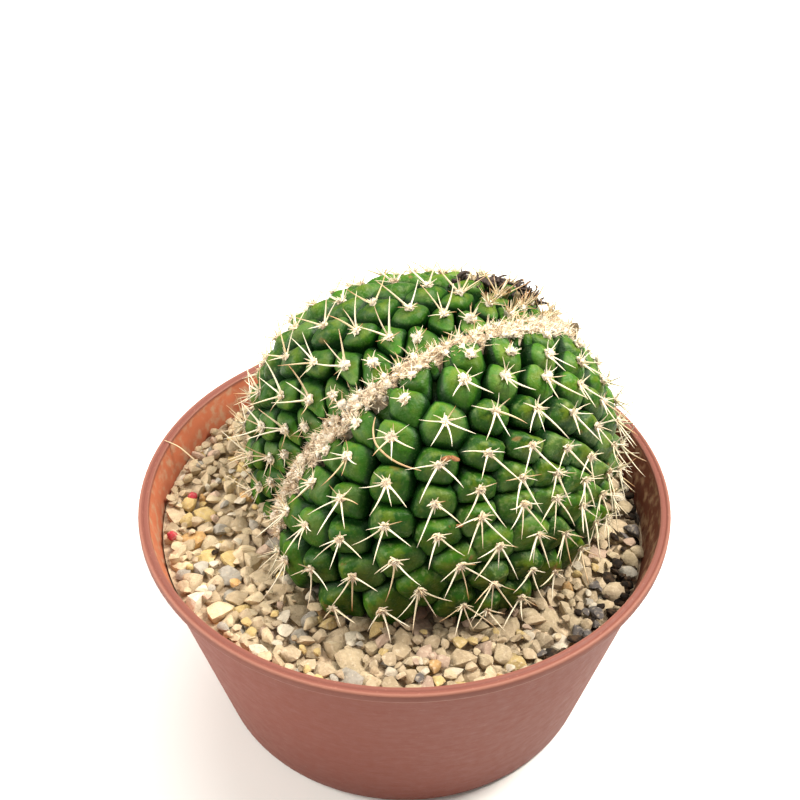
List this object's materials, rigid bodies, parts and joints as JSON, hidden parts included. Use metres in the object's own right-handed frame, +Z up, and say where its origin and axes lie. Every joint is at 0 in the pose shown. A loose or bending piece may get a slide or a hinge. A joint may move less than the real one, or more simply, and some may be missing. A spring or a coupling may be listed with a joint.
{
  "type": "potted crested mother of hundreds cactus",
  "caption": "Low crested cactus mound with leaf-green tubercles and cream spines, planted in gravel in a shallow terracotta-coloured pot.",
  "frame": {"origin": "centre of the pot's flat base, on the surface it stands on", "axes": "+Z up, +X to the right and +Y away from the viewer in the picture's view"},
  "size_m": [0.14, 0.14, 0.1243],
  "materials": {
    "terracotta_plastic": "matte moulded plastic, pinkish terracotta on the rim, darker red-brown inside",
    "potting_soil": "dark crumbly potting soil, dull",
    "gravel_stone": "dry gravel in cream, beige, tan and grey, dull",
    "cactus_skin": "waxy green skin with dark creases and cream spines",
    "pod_skin": "olive-brown fruit skin, slightly waxy",
    "dried_petal": "dry, papery, brown to olive"
  },
  "bodies": {
    "root": {"pot": "terracotta_plastic", "soil": "potting_soil", "gravel": "gravel_stone", "cactus": "cactus_skin", "seed_pod": "pod_skin", "dried_flower_1": "dried_petal", "dried_flower_2": "dried_petal", "dried_flower_3": "dried_petal"}
  },
  "joints": []
}
